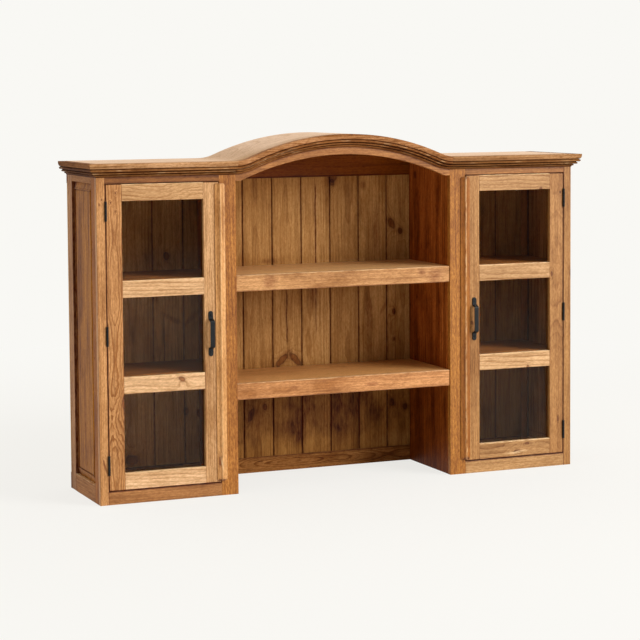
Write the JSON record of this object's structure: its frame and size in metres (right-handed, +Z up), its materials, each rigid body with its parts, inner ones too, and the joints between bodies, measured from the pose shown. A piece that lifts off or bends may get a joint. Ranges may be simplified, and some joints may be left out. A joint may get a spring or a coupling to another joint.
{
  "type": "step back cupboard",
  "caption": "Upper section of a step back cupboard: glazed side cabinets, an open shelved bay between them, a boarded back and an arched moulded crown.",
  "frame": {"origin": "under the middle of the whole footprint, at the height of the flat underside", "axes": "+X to the right seen from the front, +Y to the back, +Z up; the doors face -Y"},
  "size_m": [1.8388, 0.3794, 1.217],
  "materials": {
    "frame_wood": "waxed old pine, honey brown",
    "inner_stile_wood": "waxed old pine, redder brown",
    "door_wood": "waxed old pine, honey brown",
    "door_rail_wood": "waxed old pine, yellower, worn pale on the upper edges",
    "strip_wood": "waxed old pine",
    "crown_wood": "waxed pine, dark in the quirks",
    "top_wood": "pale dry pine",
    "side_wood": "waxed old pine, darker",
    "back_wood": "waxed knotty pine planks",
    "shelf_wood": "waxed old pine",
    "inner_wood": "dark waxed pine",
    "glass": "clear window glass",
    "ironwork": "black satin iron",
    "catch_body": "brown moulded catch",
    "strike_steel": "zinc plated plate"
  },
  "bodies": {
    "case": {"arched_crown": "crown_wood", "arched_rail": "frame_wood", "back_bottom_rail": "back_wood", "back_planks": "back_wood", "back_top_rail": "back_wood", "bonnet_board": "top_wood", "door_catches": "catch_body", "left_bottom_rail": "frame_wood", "left_cabinet_bottom": "inner_wood", "left_cabinet_shelves": "inner_wood", "left_crown": "crown_wood", "left_crown_return": "crown_wood", "left_divider": "inner_wood", "left_hinge_frame_leaves": "ironwork", "left_inner_stile": "inner_stile_wood", "left_outer_stile": "frame_wood", "left_side_back_post": "side_wood", "left_side_front_post": "side_wood", "left_side_panel": "side_wood", "left_side_rails": "side_wood", "left_top_rail": "frame_wood", "lower_centre_shelf": "shelf_wood", "lower_shelf_lipping": "shelf_wood", "right_bottom_rail": "frame_wood", "right_cabinet_bottom": "inner_wood", "right_cabinet_shelves": "inner_wood", "right_crown": "crown_wood", "right_crown_return": "crown_wood", "right_divider": "inner_wood", "right_hinge_frame_leaves": "ironwork", "right_inner_stile": "inner_stile_wood", "right_outer_stile": "frame_wood", "right_side_back_post": "side_wood", "right_side_front_post": "side_wood", "right_side_panel": "side_wood", "right_side_rails": "side_wood", "right_top_rail": "frame_wood", "top_boards": "top_wood", "upper_centre_shelf": "shelf_wood", "upper_shelf_lipping": "shelf_wood"},
    "left_door": {"left_door_hinge_stile": "door_wood", "left_door_lock_stile": "door_wood", "left_door_rails": "door_rail_wood", "left_door_strip": "strip_wood", "left_door_panes": "glass", "left_door_glass_beads": "inner_wood", "left_door_pull": "ironwork", "left_hinge_door_leaves": "ironwork", "left_door_strike": "strike_steel"},
    "right_door": {"right_door_hinge_stile": "door_wood", "right_door_lock_stile": "door_wood", "right_door_rails": "door_rail_wood", "right_door_strip": "strip_wood", "right_door_panes": "glass", "right_door_glass_beads": "inner_wood", "right_door_pull": "ironwork", "right_hinge_door_leaves": "ironwork", "right_door_strike": "strike_steel"}
  },
  "joints": [
    {"name": "left_door_hinge", "type": "hinge", "parent": "case", "child": "left_door", "pos_m": [-0.859, -0.1633, 0.555], "axis": [0, 0, -1], "range_deg": [0, 180]},
    {"name": "right_door_hinge", "type": "hinge", "parent": "case", "child": "right_door", "pos_m": [0.859, -0.1633, 0.555], "axis": [0, 0, 1], "range_deg": [0, 180]}
  ]
}
